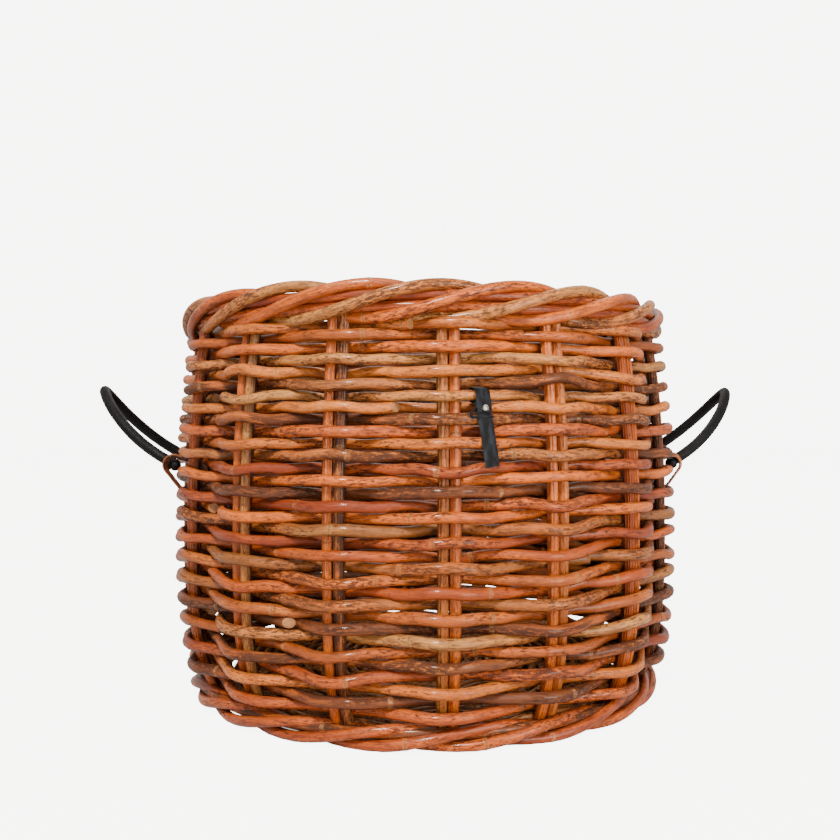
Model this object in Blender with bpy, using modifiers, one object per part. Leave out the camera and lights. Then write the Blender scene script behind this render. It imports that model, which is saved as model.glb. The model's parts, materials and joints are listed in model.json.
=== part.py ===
"""Round log basket woven from whole rattan cane, with two hinged bail handles and a leather tag.

Metres, +Z up. The origin is on the floor at the middle of the foot, the front faces -Y and the
handles are on +X and -X. A place on the wall is given in a stake's own frame: u runs out from the
basket's axis through that stake, v runs round the wall to the right of it, and z is the height.
"""

import math

import bmesh
import bpy
from mathutils import Matrix, Vector

# ---- driving dimensions ----------------------------------------------------------------------

# Stakes: upright canes in pairs, which set the wall's shape.
STAKE_PAIRS = 16
STAKE_STEP = 2.0 * math.pi / STAKE_PAIRS
STAKE_CANE_RADIUS = 0.0060
STAKE_CANE_OFFSET = 0.0059
STAKE_FOOT = 0.0285
STAKE_TOP = 0.4155
STAKE_STATIONS = (STAKE_FOOT, 0.050, 0.080, 0.125, 0.200, 0.310, STAKE_TOP)
WIDEST_RADIUS = 0.2904
WIDEST_Z = 0.215
FOOT_TUCK = 0.0214
RIM_TUCK = 0.0139

# Weaving: single courses, each outside every other stake pair.
ROWS = 32
ROW_RADIUS = 0.0056
ROW_PITCH = 0.0119
FIRST_ROW_Z = 0.0380
SHOULDER = 0.015
GAP = 0.0004

# Rim: a four-strand rope of two canes, each going round twice.
RIM_CANES = 2
RIM_REVOLUTIONS = 2
RIM_TWISTS = 5.5
RIM_CENTRE_RADIUS = 0.2785
RIM_CENTRE_Z = 0.4390
RIM_HALF_WIDTH = 0.0108
RIM_HALF_HEIGHT = 0.0163
RIM_CANE_RADIUS = 0.0065

# Foot: a three-strand rope of one cane going round three times, trimmed flat where it stands.
FOOT_REVOLUTIONS = 3
FOOT_TWISTS = 19.0 / 3.0
FOOT_CENTRE_RADIUS = 0.2722
FOOT_CENTRE_Z = 0.0123
FOOT_HALF_WIDTH = 0.0080
FOOT_HALF_HEIGHT = 0.0086
FOOT_CANE_RADIUS = 0.0056
ROPE_STATIONS_PER_TWIST = 8

# Base mat.
BASE_RADIUS = 0.2580
BASE_BOTTOM = 0.008
BASE_TOP = 0.0275
BASE_EDGE = 0.0018
BASE_STEPS = 48

# Bail handles, on hinge lines that run round the wall over the stake pairs at +X and -X.
BAIL_RADIUS = 0.0067
HINGE_U = 0.2948
HINGE_Z = 0.2705
FOOT_END_V = 0.088
FOOT_BEND_V = 0.0735
FOOT_BEND_RADIUS = 0.009
BAIL_LENGTH = 0.1335
BAIL_LOW_ANGLE = math.radians(25.5)
BAIL_TURN = math.radians(33.5)
BAIL_SQUARENESS = 1.45
BAIL_STEPS = 7

# Cane eyes that hold the bails' feet to one course.
EYE_ROW = 20
EYE_V = 0.078
EYE_WIDTH = 0.008
EYE_THICKNESS = 0.0016
EYE_FOOT_CLEARANCE = 0.0005
EYE_ROW_CLEARANCE = 0.0008
EYE_ARC_STEPS = 7

# Leather tag, folded over one course to the right of the front stake pair.
TAG_ROW = 27
TAG_FROM_SHOULDER = 0.0155
STRAP_WIDTH = 0.016
STRAP_THICKNESS = 0.0018
STRAP_LOOP_RADIUS = 0.0071
FLAP = ((0.0100, -0.0165), (0.0094, -0.0110), (0.0083, -0.0050))
TAIL = ((0.0058, -0.0098), (0.0070, -0.0125), (0.0076, -0.0160), (0.0090, -0.0240), (0.0107, -0.0480),
        (0.0113, -0.0690))
RIVET_Z = -0.0128
RIVET_SHANK_RADIUS = 0.0013
RIVET_HEAD_RADIUS = 0.0032
RIVET_CAP_RADIUS = 0.0024
RIVET_BACK = 0.0038
RIVET_FRONT = 0.0111
RIVET_DOME = 0.0013
RIVET_STEPS = 16

# Linear colour, roughness, metallic.
MATERIALS = {
    "cane_orange": ((0.42, 0.135, 0.035), 0.42, 0.0),
    "cane_amber": ((0.50, 0.215, 0.065), 0.40, 0.0),
    "cane_tan": ((0.42, 0.250, 0.110), 0.46, 0.0),
    "cane_red_brown": ((0.30, 0.080, 0.030), 0.44, 0.0),
    "cane_bark": ((0.17, 0.075, 0.035), 0.60, 0.0),
    "split_cane": ((0.45, 0.200, 0.075), 0.50, 0.0),
    "handle_leather": ((0.012, 0.012, 0.014), 0.45, 0.0),
    "strap_leather": ((0.016, 0.016, 0.018), 0.50, 0.0),
    "rivet_metal": ((0.60, 0.58, 0.55), 0.28, 1.0),
}
ROW_TONES = ("cane_orange", "cane_bark", "cane_tan", "cane_red_brown", "cane_amber")


# ---- helpers ---------------------------------------------------------------------------------

def clear_scene():
    for obj in list(bpy.data.objects):
        bpy.data.objects.remove(obj, do_unlink=True)


def new_collection(name):
    collection = bpy.data.collections.new(name)
    bpy.context.scene.collection.children.link(collection)
    return collection


def new_material(slot):
    colour, roughness, metallic = MATERIALS[slot]
    material = bpy.data.materials.new(slot)
    material.use_nodes = True
    shader = material.node_tree.nodes["Principled BSDF"]
    shader.inputs["Base Color"].default_value = (*colour, 1.0)
    shader.inputs["Roughness"].default_value = roughness
    shader.inputs["Metallic"].default_value = metallic
    return material


def add_part(name, data, slot, matrix=None):
    """Puts data in the basket's collection as one named part with its own material."""
    part = bpy.data.objects.new(name, data)
    basket.objects.link(part)
    if not data.materials:
        data.materials.append(None)
    part.material_slots[0].link = "OBJECT"
    part.material_slots[0].material = new_material(slot)
    if matrix is not None:
        part.matrix_world = matrix
    return part


def add_cutter(name, data):
    cutter = bpy.data.objects.new(name, data)
    cutters.objects.link(cutter)
    cutter.hide_render = True
    cutter.display_type = "WIRE"
    return cutter


def cut(part, cutter):
    boolean = part.modifiers.new("cut_" + cutter.name, "BOOLEAN")
    boolean.operation = "DIFFERENCE"
    boolean.solver = "EXACT"
    boolean.object = cutter


def add_poly(curve, points, cyclic):
    spline = curve.splines.new("POLY")
    spline.points.add(len(points) - 1)
    for slot, point in zip(spline.points, points):
        slot.co = (*point, 1.0)
    spline.use_cyclic_u = cyclic
    spline.use_smooth = True


def tube_curve(name, points, radius, cyclic, resolution=1):
    """A round rod along points. Its section stays upright, so that a flat side faces down."""
    curve = bpy.data.curves.new(name, "CURVE")
    curve.dimensions = "3D"
    curve.twist_mode = "Z_UP"
    curve.bevel_depth = radius
    curve.bevel_resolution = resolution
    curve.use_fill_caps = not cyclic
    add_poly(curve, points, cyclic)
    return curve


def curve_as_mesh(name, curve):
    """The closed mesh of a curve, with its caps welded on."""
    source = bpy.data.objects.new(name, curve)
    basket.objects.link(source)
    evaluated = source.evaluated_get(bpy.context.evaluated_depsgraph_get())
    mesh = bpy.data.meshes.new_from_object(evaluated)
    bpy.data.objects.remove(source, do_unlink=True)
    welded = bmesh.new()
    welded.from_mesh(mesh)
    bmesh.ops.remove_doubles(welded, verts=welded.verts, dist=1e-6)
    welded.to_mesh(mesh)
    welded.free()
    mesh.name = name
    return mesh


def profile_mesh(name, profile):
    """A profile of (radius, z) at +X, running down its outer side, for a Screw modifier to turn."""
    mesh = bpy.data.meshes.new(name)
    mesh.from_pydata([(r, 0.0, z) for r, z in profile], [(i, i + 1) for i in range(len(profile) - 1)], [])
    return mesh


def screw(part, steps):
    modifier = part.modifiers.new("turn", "SCREW")
    modifier.steps = steps
    modifier.render_steps = steps
    modifier.use_merge_vertices = True
    modifier.merge_threshold = 0.00001
    modifier.use_smooth_shade = True


def place(u, v, z, azimuth):
    """The point at u, v, z in the frame of the stake at this azimuth, counted from the front."""
    sin, cos = math.sin(azimuth), math.cos(azimuth)
    return Vector((u * sin + v * cos, v * sin - u * cos, z))


# ---- the wall --------------------------------------------------------------------------------

def bulge(z):
    """The wall's swell: slow in to the rim, quick in to the foot."""
    if z > WIDEST_Z:
        return WIDEST_RADIUS - RIM_TUCK * ((z - WIDEST_Z) / (STAKE_TOP - WIDEST_Z)) ** 2
    return WIDEST_RADIUS - FOOT_TUCK * ((WIDEST_Z - z) / (WIDEST_Z - STAKE_FOOT)) ** 4


def stake_line(z):
    """Radius of the stakes' middle line at height z and its slope, along straight runs between stations."""
    for low, high in zip(STAKE_STATIONS, STAKE_STATIONS[1:]):
        if z <= high:
            break
    slope = (bulge(high) - bulge(low)) / (high - low)
    return bulge(low) + slope * (z - low), slope


def row_z(row):
    return FIRST_ROW_Z + (row - 1) * ROW_PITCH


def row_shoulder(row, stake, side):
    """Where a course leaves a stake pair: side is -1 for its left shoulder and 1 for its right one."""
    z = row_z(row)
    radius, slope = stake_line(z)
    offset = (STAKE_CANE_RADIUS + GAP + ROW_RADIUS) * math.hypot(1.0, slope)
    outside = 1.0 if (row + stake) % 2 == 1 else -1.0
    return place(radius + outside * offset, side * SHOULDER, z, stake * STAKE_STEP)


def make_stakes():
    """Each pair is one body: two canes side by side, joined along their length."""
    lobe = [math.radians(angle) for angle in (330, 270, 210, 150, 90, 30)]
    circle = [(STAKE_CANE_RADIUS * math.cos(angle), STAKE_CANE_RADIUS * math.sin(angle)) for angle in lobe]
    left = [(x - STAKE_CANE_OFFSET, y) for x, y in circle]
    right = [(-x, -y) for x, y in left]
    section = bpy.data.curves.new("stake_section", "CURVE")
    section.dimensions = "2D"
    add_poly(section, [(x, y, 0.0) for x, y in left + right], True)
    guide = add_cutter("stake_section", section)

    stake = bpy.data.curves.new("stake_pair", "CURVE")
    stake.dimensions = "3D"
    stake.twist_mode = "MINIMUM"
    stake.bevel_mode = "OBJECT"
    stake.bevel_object = guide
    stake.use_fill_caps = True
    add_poly(stake, [(0.0, -bulge(z), z) for z in STAKE_STATIONS], False)
    for index in range(STAKE_PAIRS):
        turn = Matrix.Rotation(index * STAKE_STEP, 4, "Z")
        add_part(f"stake_pair_{index + 1:02d}", stake, ROW_TONES[(2 * index) % 5], turn)


def make_rows():
    for row in range(1, ROWS + 1):
        points = [row_shoulder(row, stake, side) for stake in range(STAKE_PAIRS) for side in (-1, 1)]
        name = f"weave_row_{row:02d}"
        add_part(name, tube_curve(name, points, ROW_RADIUS, True), ROW_TONES[(3 * row + row // 4) % 5])


# ---- rim, foot and base ----------------------------------------------------------------------

def rope_strand(revolutions, twists, start, centre, half_size):
    """One strand of a rope that runs round the basket: it climbs to the right on the outer face."""
    stations = round(revolutions * twists * ROPE_STATIONS_PER_TWIST)
    points = []
    for station in range(stations):
        azimuth = 2.0 * math.pi * revolutions * station / stations
        phase = start + twists * azimuth
        u = centre[0] + half_size[0] * math.cos(phase)
        z = centre[1] + half_size[1] * math.sin(phase)
        points.append(place(u, 0.0, z, azimuth))
    return points


def make_rim():
    centre = (RIM_CENTRE_RADIUS, RIM_CENTRE_Z)
    half_size = (RIM_HALF_WIDTH, RIM_HALF_HEIGHT)
    for index in range(RIM_CANES):
        start = math.pi * index / RIM_CANES
        points = rope_strand(RIM_REVOLUTIONS, RIM_TWISTS, start, centre, half_size)
        name = f"rim_cane_{index + 1}"
        add_part(name, tube_curve(name, points, RIM_CANE_RADIUS, True), ROW_TONES[2 * index])


def make_foot():
    """The foot is trimmed at the floor, which gives it flat patches to stand on."""
    floor = bpy.data.meshes.new("floor_cut")
    slab = bmesh.new()
    bmesh.ops.create_cube(slab, size=1.0, matrix=Matrix.Translation((0, 0, -0.5)))
    slab.to_mesh(floor)
    slab.free()
    floor_cut = add_cutter("floor_cut", floor)
    centre = (FOOT_CENTRE_RADIUS, FOOT_CENTRE_Z)
    half_size = (FOOT_HALF_WIDTH, FOOT_HALF_HEIGHT)
    points = rope_strand(FOOT_REVOLUTIONS, FOOT_TWISTS, math.radians(30.0), centre, half_size)
    mesh = curve_as_mesh("foot_rope", tube_curve("foot_rope", points, FOOT_CANE_RADIUS, True))
    cut(add_part("foot_rope", mesh, "cane_red_brown"), floor_cut)


def make_base():
    rim = BASE_RADIUS - BASE_EDGE
    profile = ((0.0, BASE_TOP), (rim, BASE_TOP), (BASE_RADIUS, BASE_TOP - BASE_EDGE),
               (BASE_RADIUS, BASE_BOTTOM + BASE_EDGE), (rim, BASE_BOTTOM), (0.0, BASE_BOTTOM))
    screw(add_part("base_mat", profile_mesh("base_mat", profile), "cane_tan"), BASE_STEPS)


# ---- handles ---------------------------------------------------------------------------------

def bail_point(along, v):
    """A point of the bail, from its hinge line: along is measured up the leg, which curls upward."""
    bend = BAIL_TURN / BAIL_LENGTH
    angle = BAIL_LOW_ANGLE + bend * along
    out = (math.sin(angle) - math.sin(BAIL_LOW_ANGLE)) / bend
    up = (math.cos(BAIL_LOW_ANGLE) - math.cos(angle)) / bend
    return Vector((out, v, up))


def bail_path():
    """Foot, bend and leg on the v > 0 side up to the middle of the grip, then the same mirrored."""
    half = [(0.0, FOOT_END_V), (0.0, FOOT_BEND_V)]
    for degrees in (30, 60):
        turn = math.radians(degrees)
        along = FOOT_BEND_RADIUS * (1.0 - math.cos(turn))
        half.append((along, FOOT_BEND_V - FOOT_BEND_RADIUS * math.sin(turn)))
    leg_v = FOOT_BEND_V - FOOT_BEND_RADIUS
    power = 2.0 / BAIL_SQUARENESS
    for step in range(BAIL_STEPS + 1):
        turn = 0.5 * math.pi * step / BAIL_STEPS
        along = FOOT_BEND_RADIUS + (BAIL_LENGTH - FOOT_BEND_RADIUS) * math.sin(turn) ** power
        half.append((along, leg_v * max(math.cos(turn), 0.0) ** power))
    half[-1] = (BAIL_LENGTH, 0.0)
    mirrored = [(along, -v) for along, v in reversed(half[:-1])]
    return [bail_point(along, v) for along, v in half + mirrored]


def make_handles():
    """Each handle's origin is on its hinge line."""
    bail = tube_curve("bail", bail_path(), BAIL_RADIUS, False, 2)
    for side, turn in (("right", 0.0), ("left", math.pi)):
        matrix = Matrix.Rotation(turn, 4, "Z") @ Matrix.Translation((HINGE_U, 0.0, HINGE_Z))
        add_part(f"handle_{side}", bail, "handle_leather", matrix)


def belt(circle_a, circle_b):
    """The outline of a belt round two circles, each given as (x, y, radius)."""
    gap = Vector(circle_b[:2]) - Vector(circle_a[:2])
    towards_b = math.atan2(gap.y, gap.x)
    contact = math.acos((circle_a[2] - circle_b[2]) / gap.length)
    outline = []
    for circle, start, end in ((circle_a, contact, 2.0 * math.pi - contact), (circle_b, -contact, contact)):
        for step in range(EYE_ARC_STEPS + 1):
            angle = towards_b + start + (end - start) * step / EYE_ARC_STEPS
            x = circle[0] + circle[2] * math.cos(angle)
            y = circle[1] + circle[2] * math.sin(angle)
            outline.append((x, y, 0.0))
    return outline


def row_point_near_handle(v):
    """Where the course that the eyes hold passes v, in the frame of the +X handle's stake: (u, z)."""
    handle_stake = STAKE_PAIRS // 4
    start = row_shoulder(EYE_ROW, handle_stake, 1)
    end = row_shoulder(EYE_ROW, handle_stake + 1, -1)
    point = start.lerp(end, (v - start.y) / (end.y - start.y))
    return point.x, point.z


def make_eyes():
    row_u, row_height = row_point_near_handle(EYE_V)
    eye = bpy.data.curves.new("cane_eye", "CURVE")
    eye.dimensions = "2D"
    eye.fill_mode = "BOTH"
    eye.extrude = EYE_WIDTH / 2.0
    for thickness in (EYE_THICKNESS, 0.0):
        foot = (0.0, 0.0, BAIL_RADIUS + EYE_FOOT_CLEARANCE + thickness)
        course = (row_u - HINGE_U, row_height - HINGE_Z, ROW_RADIUS + EYE_ROW_CLEARANCE + thickness)
        add_poly(eye, belt(foot, course), True)
    upright = Matrix.Rotation(0.5 * math.pi, 4, "X")
    for side, turn in (("right", 0.0), ("left", math.pi)):
        for end, v in (("a", -EYE_V), ("b", EYE_V)):
            matrix = Matrix.Rotation(turn, 4, "Z") @ Matrix.Translation((HINGE_U, v, HINGE_Z)) @ upright
            add_part(f"cane_eye_{side}_{end}", eye, "split_cane", matrix)


# ---- tag -------------------------------------------------------------------------------------

def strap_profile():
    """The strap from its flap, over and behind the course, to its tail: (outward, up) from the course."""
    loop = []
    for degrees in range(0, 301, 30):
        angle = math.radians(degrees)
        loop.append((STRAP_LOOP_RADIUS * math.cos(angle), STRAP_LOOP_RADIUS * math.sin(angle)))
    return [*FLAP, *loop, *TAIL]


def make_tag():
    """Strap and rivet hang from an empty on the course's middle line, with X out and Y along it."""
    start = row_shoulder(TAG_ROW, 0, 1)
    along = (row_shoulder(TAG_ROW, 1, -1) - start).normalized()
    hinge = bpy.data.objects.new("tag_hinge", None)
    basket.objects.link(hinge)
    turn = math.atan2(-along.x, along.y)
    hinge.matrix_world = Matrix.Translation(start + TAG_FROM_SHOULDER * along) @ Matrix.Rotation(turn, 4, "Z")

    ribbon = bpy.data.curves.new("tag_strap", "CURVE")
    ribbon.dimensions = "2D"
    ribbon.fill_mode = "NONE"
    ribbon.extrude = STRAP_WIDTH / 2.0
    add_poly(ribbon, [(out, up, 0.0) for out, up in strap_profile()], False)
    strap = add_part("tag_strap", curve_as_mesh("tag_strap", ribbon), "strap_leather")
    strap.parent = hinge
    strap.rotation_euler = (0.5 * math.pi, 0.0, 0.0)
    thickness = strap.modifiers.new("leather", "SOLIDIFY")
    thickness.thickness = STRAP_THICKNESS
    thickness.offset = 0.0

    drill = bpy.data.meshes.new("rivet_hole")
    cylinder = bmesh.new()
    bmesh.ops.create_cone(cylinder, cap_ends=True, segments=RIVET_STEPS, radius1=RIVET_SHANK_RADIUS + 0.0003,
                          radius2=RIVET_SHANK_RADIUS + 0.0003, depth=0.012)
    cylinder.to_mesh(drill)
    cylinder.free()
    outward = Matrix.Rotation(0.5 * math.pi, 4, "Y")
    hole = add_cutter("rivet_hole", drill)
    hole.parent = hinge
    hole.matrix_local = Matrix.Translation((0.5 * (RIVET_BACK + RIVET_FRONT), 0.0, RIVET_Z)) @ outward
    cut(strap, hole)

    profile = ((0.0, RIVET_FRONT + RIVET_DOME), (0.55 * RIVET_HEAD_RADIUS, RIVET_FRONT + 0.8 * RIVET_DOME),
               (RIVET_HEAD_RADIUS, RIVET_FRONT + 0.0003), (RIVET_HEAD_RADIUS, RIVET_FRONT),
               (RIVET_SHANK_RADIUS, RIVET_FRONT), (RIVET_SHANK_RADIUS, RIVET_BACK + 0.0008),
               (RIVET_CAP_RADIUS, RIVET_BACK + 0.0008), (RIVET_CAP_RADIUS, RIVET_BACK), (0.0, RIVET_BACK))
    rivet = add_part("tag_rivet", profile_mesh("tag_rivet", profile), "rivet_metal")
    screw(rivet, RIVET_STEPS)
    rivet.parent = hinge
    rivet.matrix_local = Matrix.Translation((0.0, 0.0, RIVET_Z)) @ outward


clear_scene()
basket = new_collection("log_basket")
cutters = new_collection("cutters")
make_stakes()
make_rows()
make_rim()
make_foot()
make_base()
make_handles()
make_eyes()
make_tag()
bpy.context.view_layer.update()
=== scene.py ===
"""Looks of the wicker log basket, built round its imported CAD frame.

Every cane of the CAD model is replaced by one with a real cane's shape: a round rod with nodes,
cut ends and laps, that runs where the CAD solid runs. The handles, eyes and tag get their leather,
split cane and metal. A place on the wall is given by its azimuth, counted from the front (-Y)
towards the right (+X), its distance u from the basket's axis and its height z. Lengths are in metres.
"""

import json
import math

import bpy
import numpy as np
from mathutils import Matrix, Vector


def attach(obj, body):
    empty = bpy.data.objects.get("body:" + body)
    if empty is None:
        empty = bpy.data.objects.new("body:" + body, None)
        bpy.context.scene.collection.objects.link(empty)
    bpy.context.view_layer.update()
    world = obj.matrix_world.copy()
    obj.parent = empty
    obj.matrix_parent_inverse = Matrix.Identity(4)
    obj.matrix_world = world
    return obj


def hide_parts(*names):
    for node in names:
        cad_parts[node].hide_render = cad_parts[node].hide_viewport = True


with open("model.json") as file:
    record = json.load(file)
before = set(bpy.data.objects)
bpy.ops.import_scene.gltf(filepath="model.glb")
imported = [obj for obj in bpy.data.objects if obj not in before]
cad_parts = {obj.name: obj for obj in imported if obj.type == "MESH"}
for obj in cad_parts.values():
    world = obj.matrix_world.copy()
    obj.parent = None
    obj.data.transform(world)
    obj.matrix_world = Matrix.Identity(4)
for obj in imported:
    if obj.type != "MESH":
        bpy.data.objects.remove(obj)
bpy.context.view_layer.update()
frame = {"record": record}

# ---- driving dimensions, as in the CAD model -----------------

STAKE_PAIRS = 16
STAKE_STEP = 2.0 * math.pi / STAKE_PAIRS
STAKE_CANE_RADIUS = 0.0060
STAKE_CANE_OFFSET = 0.0059
STAKE_TOP = 0.4155
STAKE_FOOT = 0.0285
STAKE_STATIONS = (STAKE_FOOT, 0.050, 0.080, 0.125, 0.200, 0.310, STAKE_TOP)
WIDEST_RADIUS = 0.2904
WIDEST_Z = 0.215
FOOT_TUCK = 0.0214
RIM_TUCK = 0.0139

ROWS = 32
ROW_RADIUS = 0.0056
ROW_PITCH = 0.0119
FIRST_ROW_Z = 0.0380
SHOULDER = 0.015
GAP = 0.0004

RIM_CENTRE = (0.2785, 0.4390)
RIM_HALF_SIZE = (0.0108, 0.0163)
RIM_TWISTS = 5.5
RIM_CANE_RADIUS = 0.0065
FOOT_CENTRE = (0.2722, 0.0123)
FOOT_HALF_SIZE = (0.0080, 0.0086)
FOOT_TWISTS = 19.0 / 3.0
FOOT_START = math.radians(30.0)
FOOT_CANE_RADIUS = 0.0056

BASE_RADIUS = 0.2580
BASE_MIDDLE = 0.01775

BAIL_RADIUS = 0.0067
FOOT_END_V = 0.088
FOOT_BEND_V = 0.0735
FOOT_BEND_RADIUS = 0.009
BAIL_LENGTH = 0.1335
BAIL_LOW_ANGLE = math.radians(25.5)
BAIL_TURN = math.radians(33.5)
BAIL_SQUARENESS = 1.45

EYE_ROW = 20
EYE_V = 0.078
TAG_ROW = 27
STRAP_WIDTH = 0.016
STRAP_THICKNESS = 0.0018
STRAP_LOOP_RADIUS = 0.0071
# The strap's line before and after its loop, and the rivet, in the tag's frame: (out, up).
FLAP = ((0.0100, -0.0165), (0.0094, -0.0110), (0.0083, -0.0050))
TAIL = ((0.0058, -0.0098), (0.0070, -0.0125), (0.0076, -0.0160), (0.0090, -0.0240), (0.0107, -0.0480),
        (0.0113, -0.0690))
RIVET_Z = -0.0128
RIVET_FRONT = 0.0111

# ---- what the looks add --------------------------------------

STATION = 0.0025
ROW_THICKNESS = (0.97, 1.10)
TAG_ROW_THICKNESS = 0.94
BACK_THICKER = 0.21
BACK_CLOSER = 0.48
ROW_SIDES = 12
ROPE_SIDES = 16
STAKE_SIDES = 36
WEAVE_SMOOTHING = 0.0075
STAKE_INTO_RIM = 0.012
STAKE_INTO_FOOT = 0.017
NODE_GAP = (0.15, 0.38)
NODE_HEIGHT = 0.00035
NODE_WIDTH = 0.0026
THICKNESS_DRIFT = 0.050
TONE_DRIFT = 0.16
END_TAPER = 0.90
GRAIN_STARTS = 400.0
GROOVES_ROUND = 12
GROOVE_WIDTH = 0.13
CUT_SLANT = 0.003
CORE_RADIUS = 0.0062
CORE_SPACING = 0.0056
CORE_STATIONS = 700
LACING_RADIUS = 0.0060
FOOT_CORE_RADIUS = 0.0062
FOOT_CORE_LIFT = 0.0045
FOOT_SHOWN_SHORTER = 0.005
RIM_PLAY = 0.0022
RIM_SHOWN_RADIUS = 0.95 * RIM_CANE_RADIUS
RIM_JOINTS = (0.245, 0.205)
STAKE_SHOWN_RADIUS = 0.985 * STAKE_CANE_RADIUS
STAKE_GROOVES = 0.20
SPOKE_RADIUS = 0.0029
SPOKE_OFFSET = 0.0030
SPOKE_STARTS = (0.012, 0.030)
RING_RADIUS = 0.0037
RING_PITCH = 0.0067
RING_SWAY = 0.0058
BASE_HOLE = 0.036

# Where a cane's end lies over its start. A lap seen from outside has no tail.
LAP = 0.032
LAP_FADE = 0.050
LAP_DEPTH = 0.0116
SHOWN_LAP_HEAD = 0.045
LACING_LAP_AZIMUTH = -0.125

# Laps seen from outside: course -> (stake, counted from the front, at which the upper cane ends;
# slant of its cut).
OUTSIDE_LAPS = {
    32: (0.70, 0.002), 29: (0.90, 0.001), 26: (-0.42, 0.010), 24: (11.5, 0.006),
    22: (5.5, 0.008), 17: (-2.55, 0.004), 15: (9.4, 0.007), 13: (1.45, 0.008),
    11: (2.42, 0.006), 8: (-1.40, 0.009), 5: (7.5, 0.006),
}

# Colours of the two canes of a stake pair, counted from the front: (left, right).
STAKE_LOOKS = {
    0: ("cane_tan", "cane_orange"), 1: ("cane_orange", "cane_amber"), 2: ("cane_orange", "cane_orange"),
    13: ("cane_red_brown", "cane_orange"), 14: ("cane_orange", "cane_tan"), 15: ("cane_orange", "cane_bark"),
}

# Drift of the courses. Angles round the wall are in radians.
ANY_PHASE = (0.0, 6.28)
SHARED_WAVES = 6
SHARED_WAVE_HEIGHT = (0.0009, 0.0016)
SHARED_WAVE_LEAN = 0.42
STAKE_LIFT = 0.0038
STAKE_LIFT_REACH = 0.375
KINK_HEIGHT = 0.0007
KINKS_ROUND = (17, 34)
BACK_START = 1.35
BACK_RAMP = 0.45
BACK_CALM = 0.85
LOOSE_FROM_ROW = 25
TIGHT_FROM_ROW = 29
FOOT_PRESS = 0.0026
BACK_FOOT_PRESS = 0.0016
# How far the calm round the tag and the eyes reaches.
QUIET_ROWS = 2.2
TAG_AZIMUTH = 0.12
TAG_QUIET = 0.16
EYE_WALL_RADIUS = 0.29
EYE_QUIET = 0.12

# Painted shade on a cane's upper edge, lower edge and inner side, where the neighbouring canes keep light
# off.
TOP_PAINTED_SHADE = 0.22
UNDER_PAINTED_SHADE = 0.48
INNER_PAINTED_SHADE = 0.88

# Split cane of the eyes, and the circle that it takes in round the course.
EYE_TURNS = 3
EYE_STRIP = 0.0034
EYE_STRIP_THICKNESS = 0.0030
EYE_STRIP_GAP = 0.0003
EYE_SPREAD = 0.0017
EYE_LEAN = 0.0022
EYE_HELD_SHIFT = (-0.0045, -0.0060)
EYE_HELD_RADIUS = 0.0138

BAIL_STATION = 0.0016
BAIL_SIDES = 24
SEAM_ANGLE = 0.14
SEAM_HEIGHT = 0.07
STITCH_HEIGHT = 0.035
STITCH_PITCH = 0.0052

STRAP_SHOWN_HALF_WIDTH = 0.54 * STRAP_WIDTH
STRAP_LEAN = 0.15
STRAP_STATIONS = 150
THREAD_RADIUS = 0.0013
# The rivet's head, from its foot to its crown: (radius, height).
RIVET_CAP = ((0.0037, -0.0003), (0.0037, 0.0), (0.0036, 0.0004), (0.0033, 0.0006), (0.0028, 0.0004),
             (0.0027, 0.0006), (0.0025, 0.0011), (0.0019, 0.0017), (0.0010, 0.0021), (0.0001, 0.0022))
# The thread's line, in the tag's frame: (out, along the course, up).
THREAD = ((0.0074, -0.0080, -0.0130), (0.0080, -0.0118, -0.0150), (0.0084, -0.0148, -0.0178),
          (0.0088, -0.0140, -0.0208), (0.0090, -0.0080, -0.0214), (0.0088, 0.0040, -0.0208),
          (0.0084, 0.0095, -0.0212), (0.0082, 0.0112, -0.0206))

# The world and the floor are bright to the camera only.
PALE_FLOOR = (0.55, 0.545, 0.535)
FLOOR_HALF_SIZE = 12.0
FLOOR_Z = -0.0005
FLOOR_GLOW = 6.7
# Radii from the middle over which the floor's glow comes in. Inside them the glow is left out, a painted
# shadow under the basket.
FLOOR_PAINTED_SHADOW = (0.245, 0.262)
SEEN_WHITE = (1.0, 0.980, 0.955)
SEEN_WORLD = 7.4
WARM_WHITE = (1.0, 0.95, 0.88)
SOFT_WORLD = 0.80
LAMP_TARGET = (0.0, 0.0, 0.22)
# Lamp: (place, power in watts, size).
LAMPS = {
    "key": ((-0.6, -2.0, 2.3), 120.0, 0.45),
    "fill": ((1.6, -2.2, 0.7), 56.0, 1.4),
    "back": ((0.3, 1.6, 2.2), 12.0, 1.6),
}


# ---- numbers along a cane ------------------------------------

def unit(vectors):
    return vectors / np.linalg.norm(vectors, axis=-1, keepdims=True)


def smoothstep(x):
    x = np.clip(x, 0.0, 1.0)
    return x * x * (3.0 - 2.0 * x)


def place(u, v, z, azimuth):
    sin, cos = np.sin(azimuth), np.cos(azimuth)
    return np.stack(np.broadcast_arrays(u * sin + v * cos, v * sin - u * cos, z), axis=-1)


def azimuth_of(points):
    return np.arctan2(points[:, 0], -points[:, 1])


def turned(angle):
    """An angle brought to between -pi and pi."""
    return (angle + math.pi) % (2.0 * math.pi) - math.pi


def outward(points):
    return unit(points * (1.0, 1.0, 0.0))


def length_along(path):
    return np.concatenate([[0.0], np.cumsum(np.linalg.norm(np.diff(path, axis=0), axis=1))])


def waves(rng, x, longest, count=5):
    """A smooth random line through x, from about -1 to 1."""
    line = np.zeros_like(x)
    for order in range(count):
        length = longest / (1.0 + 0.8 * order)
        line += rng.uniform(0.4, 1.0) * np.sin(2.0 * math.pi * x / length + rng.uniform(*ANY_PHASE))
    return line / math.sqrt(count)


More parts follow.
